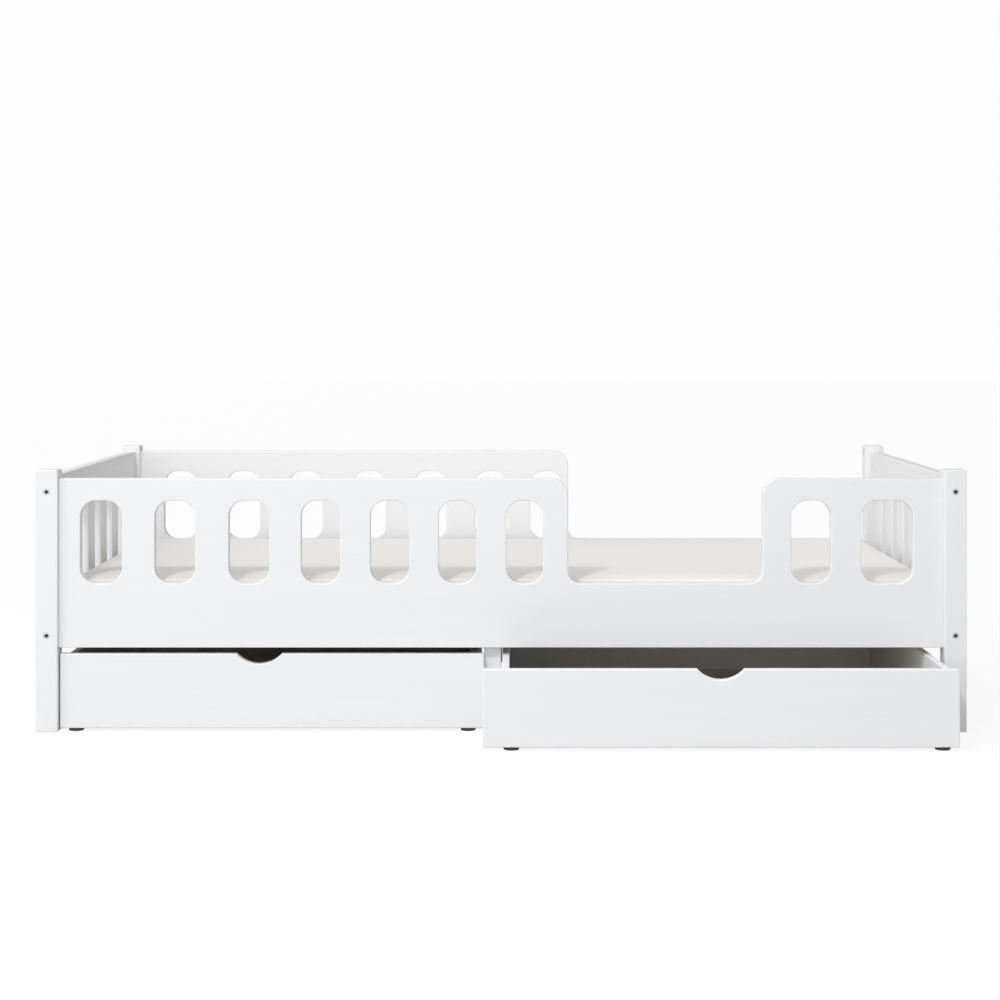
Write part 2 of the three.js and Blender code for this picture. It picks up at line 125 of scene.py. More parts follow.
# %% Make the world brighter on three sides
world_place = world_nodes.new("ShaderNodeTexCoord")
world_axes = world_nodes.new("ShaderNodeSeparateXYZ")
world_links.new(world_place.outputs["Generated"], world_axes.inputs["Vector"])
# Each side has its axis, where along it the glow starts, where it is full, and how strong it is.
SIDE_LIGHTS = (("X", 0.2, -0.9, 0.85), ("Y", 0.2, -0.9, 0.67), ("Z", 0.1, 1.0, 0.64))
glow = None
for axis, dim_end, bright_end, strength in SIDE_LIGHTS:
    ramp = world_nodes.new("ShaderNodeMapRange")
    ramp.inputs["From Min"].default_value = dim_end
    ramp.inputs["From Max"].default_value = bright_end
    ramp.inputs["To Max"].default_value = strength
    world_links.new(world_axes.outputs[axis], ramp.inputs["Value"])
    total = world_nodes.new("ShaderNodeMath")
    total.inputs[1].default_value = 0
    world_links.new(ramp.outputs["Result"], total.inputs[0])
    if glow:
        world_links.new(glow, total.inputs[1])
    glow = total.outputs["Value"]
world_links.new(glow, room_light.inputs["Strength"])
print("brighter sides:", [axis for axis, *_ in SIDE_LIGHTS])


# %% Add two soft lamps
def soft_lamp(name, place, aim, width, watts):
    """A square area lamp that looks at a point."""
    direction = Vector(aim) - Vector(place)
    turn = direction.to_track_quat("-Z", "Y").to_euler()
    bpy.ops.object.light_add(type="AREA", location=place, rotation=turn)
    lamp = bpy.context.object
    lamp.name = name
    lamp.data.size = width
    lamp.data.energy = watts
    return lamp


BED_MIDDLE = (0.0, -0.1, 0.25)
key_lamp = soft_lamp("key_lamp", (-1.3, -3.2, 3.2), BED_MIDDLE, width=0.5, watts=60)
left_fill = soft_lamp("left_fill", (-3.6, -2.6, 1.2), BED_MIDDLE, width=1.0, watts=7.5)
print("lamps:", [(lamp.name, lamp.data.energy) for lamp in (key_lamp, left_fill)])

# %% Lay the floor
FLOOR_SIDE = 60
# Each socket of the floor's shader has the level that the camera sees and the level that it casts.
FLOOR_LEVELS = (("Base Color", 0.1, 0.45), ("Emission Strength", 0.878, 0.106))
bpy.ops.mesh.primitive_plane_add(size=FLOOR_SIDE, location=(0, 0, 0))
floor = bpy.context.object
floor.name = "floor"
floor_paint = bpy.data.materials.new("floor_paint")
floor_paint.use_nodes = True
floor_skin = floor_paint.node_tree.nodes["Principled BSDF"]
floor_skin.inputs["Roughness"].default_value = 0.9
floor_skin.inputs["Specular IOR Level"].default_value = 0.1
floor_skin.inputs["Emission Color"].default_value = (1, 1, 1, 1)
floor_nodes = floor_paint.node_tree.nodes
floor_links = floor_paint.node_tree.links
floor_path = floor_nodes.new("ShaderNodeLightPath")
for socket, seen, cast in FLOOR_LEVELS:
    level = floor_nodes.new("ShaderNodeMapRange")
    level.inputs["To Min"].default_value = cast
    level.inputs["To Max"].default_value = seen
    floor_links.new(floor_path.outputs["Is Camera Ray"], level.inputs["Value"])
    floor_links.new(level.outputs["Result"], floor_skin.inputs[socket])
floor.data.materials.append(floor_paint)
print("floor:", FLOOR_SIDE, "m square")

# %% [markdown]
# ## Effects that several finishes share
# Paint, raw birch and hardboard all have a grain, a cloudy unevenness left by hands and tools,
# and edges that wear first. Each effect is one node group with named inputs, built once. The
# groups only give colours, masks and heights; each material keeps its own shader.


# %% A helper for node groups
def new_group(name, inputs, outputs):
    """A node group with sockets given as (name, kind, value)."""
    tree = bpy.data.node_groups.new(name, "ShaderNodeTree")
    for socket_name, kind, value in inputs:
        socket = tree.interface.new_socket(socket_name, in_out="INPUT", socket_type=kind)
        socket.default_value = value
    for socket_name, kind in outputs:
        tree.interface.new_socket(socket_name, in_out="OUTPUT", socket_type=kind)
    return tree, tree.nodes.new("NodeGroupInput"), tree.nodes.new("NodeGroupOutput")


def math_node(tree, operation, first, second):
    """A Math node whose inputs are sockets or numbers; gives its output socket."""
    node = tree.nodes.new("ShaderNodeMath")
    node.operation = operation
    for index, value in enumerate((first, second)):
        if isinstance(value, (int, float)):
            node.inputs[index].default_value = value
        else:
            tree.links.new(value, node.inputs[index])
    return node.outputs[0]


def mix_colours(tree, factor, first, second):
    """A colour Mix node; gives its result socket."""
    node = tree.nodes.new("ShaderNodeMix")
    node.data_type = "RGBA"
    for name, value in ((0, factor), (6, first), (7, second)):
        if isinstance(value, (int, float, tuple)):
            node.inputs[name].default_value = value
        else:
            tree.links.new(value, node.inputs[name])
    return node.outputs[2]


FLOAT = "NodeSocketFloat"
COLOUR = "NodeSocketColor"
VECTOR = "NodeSocketVector"
print("node helpers ready")

# %% Wood grain
RING_COARSENESS = 0.14
FIBRE_SHARE = 0.55
RING_SHARE = 0.45
grain_tree, grain_in, grain_out = new_group(
    "wood_grain",
    [
        ("Along", VECTOR, (0.03, 1.0, 1.0)),
        ("Fineness", FLOAT, 220.0),
        ("Dark", COLOUR, (0.5, 0.4, 0.3, 1)),
        ("Light", COLOUR, (0.8, 0.7, 0.6, 1)),
    ],
    [("Color", COLOUR), ("Height", FLOAT)],
)
grain_place = grain_tree.nodes.new("ShaderNodeTexCoord")
grain_stretch = grain_tree.nodes.new("ShaderNodeVectorMath")
grain_stretch.operation = "MULTIPLY"
grain_tree.links.new(grain_place.outputs["Object"], grain_stretch.inputs[0])
grain_tree.links.new(grain_in.outputs["Along"], grain_stretch.inputs[1])
fibres = grain_tree.nodes.new("ShaderNodeTexNoise")
fibres.inputs["Detail"].default_value = 5
fibres.inputs["Roughness"].default_value = 0.62
grain_tree.links.new(grain_stretch.outputs[0], fibres.inputs["Vector"])
grain_tree.links.new(grain_in.outputs["Fineness"], fibres.inputs["Scale"])
rings = grain_tree.nodes.new("ShaderNodeTexNoise")
rings.inputs["Detail"].default_value = 2
rings.inputs["Distortion"].default_value = 0.6
grain_tree.links.new(grain_stretch.outputs[0], rings.inputs["Vector"])
ring_scale = math_node(grain_tree, "MULTIPLY", grain_in.outputs["Fineness"], RING_COARSENESS)
grain_tree.links.new(ring_scale, rings.inputs["Scale"])
grain_sum = math_node(grain_tree, "MULTIPLY", fibres.outputs["Fac"], FIBRE_SHARE)
ring_share = math_node(grain_tree, "MULTIPLY", rings.outputs["Fac"], RING_SHARE)
grain_mask = math_node(grain_tree, "ADD", grain_sum, ring_share)
grain_spread = grain_tree.nodes.new("ShaderNodeMapRange")
grain_spread.inputs["From Min"].default_value = 0.34
grain_spread.inputs["From Max"].default_value = 0.66
grain_tree.links.new(grain_mask, grain_spread.inputs["Value"])
grain_colour = mix_colours(
    grain_tree, grain_spread.outputs[0], grain_in.outputs["Dark"], grain_in.outputs["Light"]
)
grain_tree.links.new(grain_colour, grain_out.inputs["Color"])
grain_tree.links.new(grain_spread.outputs[0], grain_out.inputs["Height"])
print("group:", grain_tree.name)

# %% Handling marks: cloudy unevenness in colour and gloss
cloud_tree, cloud_in, cloud_out = new_group(
    "handling_marks",
    [
        ("Color", COLOUR, (0.8, 0.8, 0.8, 1)),
        ("Tint", COLOUR, (0.7, 0.7, 0.7, 1)),
        ("Amount", FLOAT, 0.3),
        ("Roughness", FLOAT, 0.4),
        ("Spread", FLOAT, 0.1),
    ],
    [("Color", COLOUR), ("Roughness", FLOAT)],
)
cloud_place = cloud_tree.nodes.new("ShaderNodeTexCoord")
wide_cloud = cloud_tree.nodes.new("ShaderNodeTexNoise")
wide_cloud.inputs["Scale"].default_value = 4.5
wide_cloud.inputs["Detail"].default_value = 4
cloud_tree.links.new(cloud_place.outputs["Object"], wide_cloud.inputs["Vector"])
fine_cloud = cloud_tree.nodes.new("ShaderNodeTexNoise")
fine_cloud.inputs["Scale"].default_value = 60
fine_cloud.inputs["Detail"].default_value = 3
cloud_tree.links.new(cloud_place.outputs["Object"], fine_cloud.inputs["Vector"])
tint_mask = math_node(cloud_tree, "MULTIPLY", wide_cloud.outputs["Fac"], cloud_in.outputs["Amount"])
tinted = mix_colours(cloud_tree, tint_mask, cloud_in.outputs["Color"], cloud_in.outputs["Tint"])
cloud_tree.links.new(tinted, cloud_out.inputs["Color"])
centred = math_node(cloud_tree, "SUBTRACT", fine_cloud.outputs["Fac"], 0.5)
swing = math_node(cloud_tree, "MULTIPLY", centred, cloud_in.outputs["Spread"])
uneven = math_node(cloud_tree, "ADD", cloud_in.outputs["Roughness"], swing)
cloud_tree.links.new(uneven, cloud_out.inputs["Roughness"])
print("group:", cloud_tree.name)

# %% Edge wear: the paint is thinner and brighter on the eased edges
edge_tree, edge_in, edge_out = new_group(
    "edge_wear",
    [
        ("Color", COLOUR, (0.8, 0.8, 0.8, 1)),
        ("Worn", COLOUR, (0.9, 0.9, 0.88, 1)),
        ("Amount", FLOAT, 0.5),
    ],
    [("Color", COLOUR), ("Mask", FLOAT)],
)
edge_place = edge_tree.nodes.new("ShaderNodeTexCoord")
edge_strip = edge_tree.nodes.new("ShaderNodeAttribute")
edge_strip.attribute_name = "eased_edge"
edge_patches = edge_tree.nodes.new("ShaderNodeTexNoise")
edge_patches.inputs["Scale"].default_value = 45
edge_patches.inputs["Detail"].default_value = 6
edge_tree.links.new(edge_place.outputs["Object"], edge_patches.inputs["Vector"])
patchy = edge_tree.nodes.new("ShaderNodeMapRange")
patchy.inputs["From Min"].default_value = 0.35
patchy.inputs["From Max"].default_value = 0.7
edge_tree.links.new(edge_patches.outputs["Fac"], patchy.inputs["Value"])
edge_mask = math_node(edge_tree, "MULTIPLY", edge_strip.outputs["Fac"], patchy.outputs[0])
edge_amount = math_node(edge_tree, "MULTIPLY", edge_mask, edge_in.outputs["Amount"])
edge_colour = mix_colours(
    edge_tree, edge_amount, edge_in.outputs["Color"], edge_in.outputs["Worn"]
)
edge_tree.links.new(edge_colour, edge_out.inputs["Color"])
edge_tree.links.new(edge_amount, edge_out.inputs["Mask"])
print("group:", edge_tree.name)

# %% [markdown]
# ## White lacquer
# The boards are sprayed white. The wide side panels and drawer fronts are smooth fibreboard; the
# posts, rails and slats are solid pine, whose grain just telegraphs through the paint. Both share
# one recipe: grain, handling marks and edge wear feed the colour, and a fine orange peel with the
# grain feeds the bump.


# %% Start a material
def new_finish(name):
    """A material with a Principled BSDF; gives the material, its tree and the shader."""
    material = bpy.data.materials.new(name)
    material.use_nodes = True
    return material, material.node_tree, material.node_tree.nodes["Principled BSDF"]


def place_group(tree, group, **values):
    """A group node in a material, with some of its inputs set."""
    node = tree.nodes.new("ShaderNodeGroup")
    node.node_tree = group
    for name, value in values.items():
        node.inputs[name].default_value = value
    return node


def painted_finish(name, colour, shade, along, grain_depth, roughness):
    """A sprayed or printed board: grain, handling marks, edge wear and orange peel."""
    material, tree, skin = new_finish(name)
    grain = place_group(tree, grain_tree, Along=along, Dark=shade, Light=colour)
    marks = place_group(tree, cloud_tree, Tint=shade, Amount=0.05, Roughness=roughness, Spread=0.04)
    wear = place_group(tree, edge_tree, Worn=(0.92, 0.915, 0.9, 1), Amount=0.5)
    tree.links.new(grain.outputs["Color"], marks.inputs["Color"])
    tree.links.new(marks.outputs["Color"], wear.inputs["Color"])
    tree.links.new(wear.outputs["Color"], skin.inputs["Base Color"])
    tree.links.new(marks.outputs["Roughness"], skin.inputs["Roughness"])
    place = tree.nodes.new("ShaderNodeTexCoord")
    peel = tree.nodes.new("ShaderNodeTexNoise")
    peel.inputs["Scale"].default_value = 420
    peel.inputs["Detail"].default_value = 2
    tree.links.new(place.outputs["Object"], peel.inputs["Vector"])
    peel_bump = tree.nodes.new("ShaderNodeBump")
    peel_bump.inputs["Strength"].default_value = 0.12
    peel_bump.inputs["Distance"].default_value = 0.0004
    tree.links.new(peel.outputs["Fac"], peel_bump.inputs["Height"])
    grain_bump = tree.nodes.new("ShaderNodeBump")
    grain_bump.inputs["Strength"].default_value = grain_depth
    grain_bump.inputs["Distance"].default_value = 0.0005
    tree.links.new(grain.outputs["Height"], grain_bump.inputs["Height"])
    tree.links.new(peel_bump.outputs["Normal"], grain_bump.inputs["Normal"])
    tree.links.new(grain_bump.outputs["Normal"], skin.inputs["Normal"])
    skin.inputs["Specular IOR Level"].default_value = 0.38
    skin.inputs["Coat Weight"].default_value = 0.05
    skin.inputs["Coat Roughness"].default_value = 0.3
    return material


ALONG_X = (0.03, 1.0, 1.0)
ALONG_Y = (1.0, 0.03, 1.0)
ALONG_Z = (1.0, 1.0, 0.03)
LACQUER = (0.826, 0.828, 0.836, 1)
LACQUER_SHADE = (0.806, 0.808, 0.815, 1)
HARDBOARD = (0.82, 0.82, 0.81, 1)
HARDBOARD_SHADE = (0.79, 0.79, 0.78, 1)
board_white = painted_finish(
    "lacquered_board", LACQUER, LACQUER_SHADE, ALONG_X, grain_depth=0.03, roughness=0.42
)
pine_white = {}
for axis, along in (("x", ALONG_X), ("y", ALONG_Y), ("z", ALONG_Z)):
    pine_white[axis] = painted_finish(
        f"lacquered_pine_{axis}", LACQUER, LACQUER_SHADE, along, grain_depth=0.14, roughness=0.44
    )
hardboard_white = painted_finish(
    "white_hardboard", HARDBOARD, HARDBOARD_SHADE, ALONG_X, grain_depth=0.05, roughness=0.55
)
print("painted finishes:", board_white.name, hardboard_white.name, *pine_white)

# %% [markdown]
# ## Birch
# The base slats and the ledges are planed birch, not painted. The grain is stronger in colour,
# follows the length of each slat, and the surface is matt.


# %% Birch material
def birch_finish(name, along):
    """Bare planed birch with its grain along one axis."""
    material, tree, skin = new_finish(name)
    dark = (0.52, 0.37, 0.22, 1)
    light = (0.73, 0.58, 0.4, 1)
    grain = place_group(tree, grain_tree, Along=along, Fineness=150, Dark=dark, Light=light)
    marks = place_group(tree, cloud_tree, Tint=dark, Amount=0.3, Roughness=0.6, Spread=0.2)
    wear = place_group(tree, edge_tree, Worn=(0.45, 0.31, 0.18, 1), Amount=0.4)
    tree.links.new(grain.outputs["Color"], marks.inputs["Color"])
    tree.links.new(marks.outputs["Color"], wear.inputs["Color"])
    tree.links.new(wear.outputs["Color"], skin.inputs["Base Color"])
    tree.links.new(marks.outputs["Roughness"], skin.inputs["Roughness"])
    fibre = tree.nodes.new("ShaderNodeBump")
    fibre.inputs["Strength"].default_value = 0.25
    fibre.inputs["Distance"].default_value = 0.0004
    tree.links.new(grain.outputs["Height"], fibre.inputs["Height"])
    tree.links.new(fibre.outputs["Normal"], skin.inputs["Normal"])
    return material


birch = {"x": birch_finish("birch_x", ALONG_X), "y": birch_finish("birch_y", ALONG_Y)}
print("birch:", [material.name for material in birch.values()])

# %% [markdown]
# ## Fittings and webbing
# Zinc plated steel is a metal whose gloss is broken by fine cloudy spangles. The sockets of the
# bolts are painted near black inside: painted shade that stands in for the shade deep in the
# recess. The glides are moulded plastic with a fine leathery texture that the floor has rubbed
# brighter. The webbing that ties the base slats is a coarse grey tape.

# %% Metal, plastic and tape
zinc, zinc_tree, zinc_skin = new_finish("zinc_plate")
zinc_marks = place_group(
    zinc_tree,
    cloud_tree,
    Color=(0.8, 0.81, 0.83, 1),
    Tint=(0.6, 0.61, 0.63, 1),
    Amount=0.4,
    Roughness=0.34,
    Spread=0.3,
)
zinc_tree.links.new(zinc_marks.outputs["Color"], zinc_skin.inputs["Base Color"])
zinc_tree.links.new(zinc_marks.outputs["Roughness"], zinc_skin.inputs["Roughness"])
zinc_skin.inputs["Metallic"].default_value = 1
zinc_place = zinc_tree.nodes.new("ShaderNodeTexCoord")
spangle = zinc_tree.nodes.new("ShaderNodeTexVoronoi")
spangle.inputs["Scale"].default_value = 900
zinc_tree.links.new(zinc_place.outputs["Object"], spangle.inputs["Vector"])
zinc_bump = zinc_tree.nodes.new("ShaderNodeBump")
zinc_bump.inputs["Strength"].default_value = 0.12
zinc_bump.inputs["Distance"].default_value = 0.0002
zinc_tree.links.new(spangle.outputs["Distance"], zinc_bump.inputs["Height"])
zinc_tree.links.new(zinc_bump.outputs["Normal"], zinc_skin.inputs["Normal"])

# Painted shade: a near black colour for the faces inside each bolt socket, in place of the shade that
# falls deep in the recess.
socket_shade, socket_shade_tree, socket_shade_skin = new_finish("blackened_socket")
socket_shade_marks = place_group(
    socket_shade_tree,
    cloud_tree,
    Color=(0.05, 0.05, 0.052, 1),
    Tint=(0.02, 0.02, 0.02, 1),
    Amount=0.5,
    Roughness=0.5,
    Spread=0.15,
)
socket_shade_tree.links.new(socket_shade_marks.outputs["Color"], socket_shade_skin.inputs["Base Color"])
socket_shade_tree.links.new(socket_shade_marks.outputs["Roughness"], socket_shade_skin.inputs["Roughness"])

plastic, plastic_tree, plastic_skin = new_finish("dark_plastic")
plastic_marks = place_group(
    plastic_tree,
    cloud_tree,
    Color=(0.022, 0.022, 0.024, 1),
    Tint=(0.07, 0.07, 0.07, 1),
    Amount=0.5,
    Roughness=0.5,
    Spread=0.25,
)
plastic_wear = place_group(plastic_tree, edge_tree, Worn=(0.16, 0.16, 0.16, 1), Amount=0.6)
plastic_tree.links.new(plastic_marks.outputs["Color"], plastic_wear.inputs["Color"])
plastic_tree.links.new(plastic_wear.outputs["Color"], plastic_skin.inputs["Base Color"])
plastic_tree.links.new(plastic_marks.outputs["Roughness"], plastic_skin.inputs["Roughness"])
plastic_place = plastic_tree.nodes.new("ShaderNodeTexCoord")
moulding = plastic_tree.nodes.new("ShaderNodeTexNoise")
moulding.inputs["Scale"].default_value = 1100
plastic_tree.links.new(plastic_place.outputs["Object"], moulding.inputs["Vector"])
plastic_bump = plastic_tree.nodes.new("ShaderNodeBump")
plastic_bump.inputs["Strength"].default_value = 0.25
plastic_bump.inputs["Distance"].default_value = 0.0003
plastic_tree.links.new(moulding.outputs["Fac"], plastic_bump.inputs["Height"])
plastic_tree.links.new(plastic_bump.outputs["Normal"], plastic_skin.inputs["Normal"])

tape, tape_tree, tape_skin = new_finish("webbing_tape")
tape_place = tape_tree.nodes.new("ShaderNodeTexCoord")
ribs = tape_tree.nodes.new("ShaderNodeTexWave")
ribs.bands_direction = "X"
ribs.inputs["Scale"].default_value = 160
tape_tree.links.new(tape_place.outputs["Object"], ribs.inputs["Vector"])
tape_marks = place_group(tape_tree, cloud_tree, Tint=(0.2, 0.2, 0.2, 1), Roughness=0.85)
TAPE_DARK = (0.33, 0.33, 0.32, 1)
TAPE_LIGHT = (0.5, 0.5, 0.49, 1)
tape_colour = mix_colours(tape_tree, ribs.outputs["Fac"], TAPE_DARK, TAPE_LIGHT)
tape_tree.links.new(tape_colour, tape_marks.inputs["Color"])
tape_tree.links.new(tape_marks.outputs["Color"], tape_skin.inputs["Base Color"])
tape_tree.links.new(tape_marks.outputs["Roughness"], tape_skin.inputs["Roughness"])
tape_bump = tape_tree.nodes.new("ShaderNodeBump")
tape_bump.inputs["Strength"].default_value = 0.5
tape_bump.inputs["Distance"].default_value = 0.0005
tape_tree.links.new(ribs.outputs["Fac"], tape_bump.inputs["Height"])
tape_tree.links.new(tape_bump.outputs["Normal"], tape_skin.inputs["Normal"])
print("fittings:", zinc.name, plastic.name, tape.name)

# %% [markdown]
# ## Mattress ticking
# The cover is a tight off-white knit, a touch warmer than the painted wood. Three crossed wave
# textures, one for each axis, give the rows and columns of its stitches, and a broad noise gives
# the soft mottling of cloth. The sheen brightens it at a low angle, as fibres do.

# %% Ticking material
ticking, ticking_tree, ticking_skin = new_finish("mattress_ticking")
ticking_place = ticking_tree.nodes.new("ShaderNodeTexCoord")
stitch_rows = []
for direction in ("X", "Y", "Z"):
    wave = ticking_tree.nodes.new("ShaderNodeTexWave")
    wave.bands_direction = direction
    wave.inputs["Scale"].default_value = 95
    wave.inputs["Distortion"].default_value = 0.6
    wave.inputs["Detail"].default_value = 1
    ticking_tree.links.new(ticking_place.outputs["Object"], wave.inputs["Vector"])
    stitch_rows.append(wave.outputs["Fac"])
crossed = math_node(ticking_tree, "MULTIPLY", stitch_rows[0], stitch_rows[1])
knit = math_node(ticking_tree, "ADD", crossed, stitch_rows[2])
ticking_marks = place_group(
    ticking_tree,
    cloud_tree,
    Color=(0.83, 0.806, 0.775, 1),
    Tint=(0.76, 0.725, 0.68, 1),
    Amount=0.5,
    Roughness=0.92,
    Spread=0.08,
)
YARN_DARK = (0.70, 0.665, 0.625, 1)
YARN_SHARE = 0.25
yarn_shade = mix_colours(ticking_tree, knit, YARN_DARK, ticking_marks.outputs["Color"])
yarn_mix = mix_colours(ticking_tree, YARN_SHARE, ticking_marks.outputs["Color"], yarn_shade)
ticking_tree.links.new(yarn_mix, ticking_skin.inputs["Base Color"])
ticking_tree.links.new(ticking_marks.outputs["Roughness"], ticking_skin.inputs["Roughness"])
ticking_skin.inputs["Sheen Weight"].default_value = 0.15
ticking_skin.inputs["Sheen Roughness"].default_value = 0.5
knit_bump = ticking_tree.nodes.new("ShaderNodeBump")
knit_bump.inputs["Strength"].default_value = 0.35
knit_bump.inputs["Distance"].default_value = 0.0006
ticking_tree.links.new(knit, knit_bump.inputs["Height"])
ticking_tree.links.new(knit_bump.outputs["Normal"], ticking_skin.inputs["Normal"])
print("cover:", ticking.name)

# %% [markdown]
# ## Eased edges on the wooden pieces
# No cut board is left razor sharp: a router or a sanding block rounds the edges that hands reach,
# and that round is what catches the light. Each wooden solid is copied and its facets merged, and
# its outer edges are bevelled in edit mode. Bores and mortises stay crisp, so edges are chosen by
# place: an outer edge lies on two sides of the piece's own box, and an outline edge lies on the
# front or back face of a board that was cut to shape.


# %% Helpers that copy a solid and choose its edges
SAME_PLACE = 0.00001
BOX_REACH = 0.00002
SHARP_EDGE = math.radians(20)
SMOOTH_ANGLE = math.radians(40)
FLAT_NORMAL = 0.995


def only(*objects):
    """Leaves just these objects selected, the first of them active."""
    bpy.ops.object.select_all(action="DESELECT")
    for item in objects:
        item.select_set(True)
    bpy.context.view_layer.objects.active = objects[0]


def merged_copy(node, name, whole_faces=True):
    """A copy of a loaded solid with its loose facets joined, into whole faces if asked."""
    source = frame["nodes"][node]
    piece = bpy.data.objects.new(name, source.data.copy())
    bpy.context.scene.collection.objects.link(piece)
    piece.data.materials.clear()
    only(piece)
    bpy.ops.mesh.customdata_custom_splitnormals_clear()
    bpy.ops.object.mode_set(mode="EDIT")
    bpy.ops.mesh.select_all(action="SELECT")
    bpy.ops.mesh.remove_doubles(threshold=SAME_PLACE)
    if whole_faces:
        bpy.ops.mesh.dissolve_limited(angle_limit=math.radians(1))
    bpy.ops.object.mode_set(mode="OBJECT")
    return piece


def sides_touched(point, low, high):
    """The sides of a box that a point lies on, as a set."""
    touched = set()
    for axis in range(3):
        if abs(point[axis] - low[axis]) < BOX_REACH:
            touched.add((axis, "low"))
        if abs(point[axis] - high[axis]) < BOX_REACH:
            touched.add((axis, "high"))
    return touched


def choose_edges(piece, outline_axis=None):
    """Selects the outer edges of a piece that is in edit mode, and outline edges if asked."""
    mesh = bmesh.from_edit_mesh(piece.data)
    places = [vert.co for vert in mesh.verts]
    low = [min(place[axis] for place in places) for axis in range(3)]
    high = [max(place[axis] for place in places) for axis in range(3)]
    for edge in mesh.edges:
        if len(edge.link_faces) != 2 or edge.calc_face_angle() < SHARP_EDGE:
            continue
        first, second = (sides_touched(vert.co, low, high) for vert in edge.verts)
        shared = first & second
        on_outline = any(axis == outline_axis for axis, _ in shared)
        if len(shared) >= 2 or on_outline:
            edge.select_set(True)
    bmesh.update_edit_mesh(piece.data)


def choose_faces(piece, wanted):
    """Selects the faces of a piece in edit mode that pass a test on centre and normal."""
    mesh = bmesh.from_edit_mesh(piece.data)
    bpy.ops.mesh.select_mode(type="FACE")
    bpy.ops.mesh.select_all(action="DESELECT")
    for polygon in mesh.faces:
        if wanted(polygon.calc_center_median(), polygon.normal):
            polygon.select_set(True)
    bmesh.update_edit_mesh(piece.data)


def mark_selected_faces(piece):
    """Records the slanted faces that are selected as eased edges, for the edge wear group."""
    marks = [
        1.0 if polygon.select and max(abs(part) for part in polygon.normal) < FLAT_NORMAL else 0.0
        for polygon in piece.data.polygons
    ]
    attribute = piece.data.attributes.new("eased_edge", "FLOAT", "FACE")
    attribute.data.foreach_set("value", marks)


def settle_shading(piece):
    """Smooth shading on the rounds, while the wide faces stay flat."""
    bpy.ops.object.shade_smooth_by_angle(angle=SMOOTH_ANGLE)
    flatten = piece.modifiers.new("flat_faces", "WEIGHTED_NORMAL")
    flatten.keep_sharp = True
    bpy.ops.object.modifier_apply(modifier=flatten.name)


def ease(piece, radius, outline_axis=None, segments=3):
    """Rounds the chosen edges and keeps the wide faces flat in shading."""
    only(piece)
    bpy.ops.object.mode_set(mode="EDIT")
    bpy.ops.mesh.select_mode(type="EDGE")
    bpy.ops.mesh.select_all(action="DESELECT")
    choose_edges(piece, outline_axis)
    bpy.ops.mesh.bevel(offset=radius, segments=segments, affect="EDGES", loop_slide=False)
    bpy.ops.object.mode_set(mode="OBJECT")
    mark_selected_faces(piece)
    settle_shading(piece)


def eased_solid(node, material, radius, outline_axis=None):
    """The finished piece that stands for one wooden solid."""
    piece = merged_copy(node, "eased_" + node)
    ease(piece, radius, outline_axis)
    piece.data.materials.append(material)
    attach(piece, BODY_OF[node])
    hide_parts(node)
    return piece


print("easing helpers ready")

# %% Posts, rails and end slats
PINE_EASE = 0.0018
Y_AXIS = 1
pine_pieces = []
for node in frame["nodes"]:
    if node.startswith("post_"):
        pine_pieces.append(eased_solid(node, pine_white["z"], PINE_EASE))
    elif node.startswith("end_rail"):
        pine_pieces.append(eased_solid(node, pine_white["y"], PINE_EASE))
    elif node.startswith("end_slat"):
        pine_pieces.append(eased_solid(node, pine_white["z"], PINE_EASE))
for node in ("middle_leg_front", "middle_leg_rear"):
    pine_pieces.append(eased_solid(node, pine_white["z"], PINE_EASE))
pine_pieces.append(eased_solid("middle_cross_rail", pine_white["y"], PINE_EASE))
print("pine pieces:", len(pine_pieces))

# %% [markdown]
# The side panels are cut to shape and pierced, so their round follows every curve. A router with
# a quarter-round bit does it on the real board. Here each wide face is first pushed in by the
# radius, then inset in small steps that climb back out along a quarter circle. Insetting the
# whole face at once keeps the holes clean, where a bevel would have to guess at their corners.
# Beautify fill first trades the thin slivers between the curves for stouter triangles.

# %% Side panels
BOARD_EASE = 0.0018
ROUND_STEPS = 3


def choose_wide_face(piece, side):
    """Selects the faces that lie on the front (-1) or back (1) plane of an upright board."""
    edge_y = max(side * vert.co.y for vert in piece.data.vertices)
    choose_faces(
        piece,
        lambda centre, normal: side * normal.y > 0.99 and side * centre.y > edge_y - 0.0001,
    )


def round_over(piece, radius):
    """Rounds the outlines of both wide faces of an upright board by stepped insets."""
    only(piece)
    for side in (-1, 1):
        bpy.ops.object.mode_set(mode="EDIT")
        choose_wide_face(piece, side)
        bpy.ops.mesh.beautify_fill(angle_limit=math.pi)
        bpy.ops.transform.translate(value=(0, -side * radius, 0))
        for step in range(ROUND_STEPS):
            start = math.radians(90 * step / ROUND_STEPS)
            end = math.radians(90 * (step + 1) / ROUND_STEPS)
            inward = radius * (math.cos(start) - math.cos(end))
            outward = radius * (math.sin(end) - math.sin(start))
            bpy.ops.mesh.inset(thickness=inward, depth=outward)
        choose_faces(piece, lambda centre, normal: 0.05 < abs(normal.y) < FLAT_NORMAL)
        bpy.ops.object.mode_set(mode="OBJECT")
    mark_selected_faces(piece)
    settle_shading(piece)


def rounded_board(node, radius):
    """The finished piece that stands for one lacquered board cut to shape."""
    piece = merged_copy(node, "eased_" + node, whole_faces=False)
    round_over(piece, radius)
    piece.data.materials.append(board_white)
    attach(piece, BODY_OF[node])
    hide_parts(node)
    return piece


for node in ("side_panel_front", "side_panel_rear"):
    panel = rounded_board(node, BOARD_EASE)
    print(panel.name, len(panel.data.polygons), "faces")

# %% Ledges
LEDGE_EASE = 0.0015
for node in ("ledge_front", "ledge_rear"):
    ledge = eased_solid(node, birch["x"], LEDGE_EASE)
    print(ledge.name, len(ledge.data.polygons), "faces")

